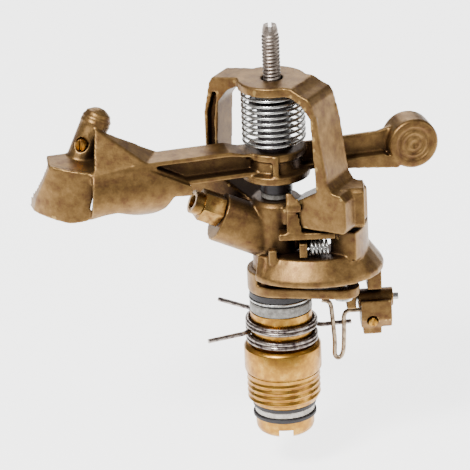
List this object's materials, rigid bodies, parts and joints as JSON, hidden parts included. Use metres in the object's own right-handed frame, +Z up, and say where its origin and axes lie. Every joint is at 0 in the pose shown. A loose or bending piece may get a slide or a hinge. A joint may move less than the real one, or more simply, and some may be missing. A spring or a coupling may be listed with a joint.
{
  "type": "impact sprinkler",
  "caption": "Brass impact sprinkler with a sprung drive arm, counterweight, angled nozzle, part-circle trip lever and stop collars on a male threaded bearing.",
  "frame": {"origin": "on the turning axis, at the lowest face of the bearing tube's flange", "axes": "+Z up along the turning axis; -X towards the nozzle and the drive spoon; +X towards the counterweight; -Y towards the trip mechanism"},
  "size_m": [0.1153, 0.0438, 0.123],
  "materials": {
    "cast_brass": "as cast, tumbled",
    "turned_brass": "turned",
    "spring_steel": "bright drawn",
    "dark_wire": "dark drawn wire",
    "black_rubber": "moulded",
    "pale_plastic": "moulded",
    "dark_plastic": "moulded"
  },
  "bodies": {
    "bearing": {"bearing_sleeve": "turned_brass", "bearing_spring": "spring_steel"},
    "upper_collar": {"upper_stop_collar": "dark_wire"},
    "lower_collar": {"lower_stop_collar": "dark_wire"},
    "head": {"bearing_tube": "turned_brass", "lower_rubber_washer": "black_rubber", "lower_bearing_washer": "pale_plastic", "sleeve_rubber_washer": "black_rubber", "upper_bearing_washer": "pale_plastic", "upper_friction_washer": "black_rubber", "upper_steel_washer": "spring_steel", "upper_rubber_seal": "black_rubber", "arm_lower_washer": "pale_plastic", "arm_upper_washer": "pale_plastic", "body_casting": "cast_brass", "nozzle": "turned_brass", "fulcrum_pin": "spring_steel", "lever_pivot_pin": "spring_steel", "arm_spring": "spring_steel", "trip_spring": "spring_steel"},
    "arm": {"arm_casting": "cast_brass", "arm_bushing": "dark_plastic"},
    "vane_screw": {"vane_adjusting_screw": "turned_brass"},
    "lever": {"reversing_lever": "cast_brass", "trip_pivot_pin": "spring_steel"},
    "trip": {"trip_block": "cast_brass", "trip_wire": "dark_wire", "trip_clamp_screw": "turned_brass"}
  },
  "joints": [
    {"name": "head_turn", "type": "hinge", "parent": "bearing", "child": "head", "pos_m": [0, 0, 0.03], "axis": [0, 0, 1], "range_deg": [-145, 0]},
    {"name": "upper_collar_turn", "type": "hinge", "parent": "bearing", "child": "upper_collar", "pos_m": [0, 0, 0.033], "axis": [0, 0, 1], "range_deg": [-110, 0]},
    {"name": "lower_collar_turn", "type": "hinge", "parent": "bearing", "child": "lower_collar", "pos_m": [0, 0, 0.029], "axis": [0, 0, 1], "range_deg": [0, 120]},
    {"name": "arm_swing", "type": "hinge", "parent": "head", "child": "arm", "pos_m": [0, 0, 0.085], "axis": [0, 0, 1], "range_deg": [0, 95], "deforming": ["arm_spring"]},
    {"name": "vane_screw_travel", "type": "slide", "parent": "arm", "child": "vane_screw", "axis": [-0.6198, -0.7848, 0], "range_m": [0, 0.0015]},
    {"name": "lever_rock", "type": "hinge", "parent": "head", "child": "lever", "pos_m": [0.01537, -0.01201, 0.055], "axis": [0, 0, 1], "range_deg": [0, 9], "deforming": ["trip_spring"]},
    {"name": "trip_rock", "type": "hinge", "parent": "lever", "child": "trip", "pos_m": [0.0265, -0.00515, 0.0388], "axis": [0.9816, -0.1908, 0], "range_deg": [-12, 0]}
  ],
  "couplings": [
    {"joint": "trip_rock", "follows": "lever_rock", "ratio": -1.3333}
  ]
}
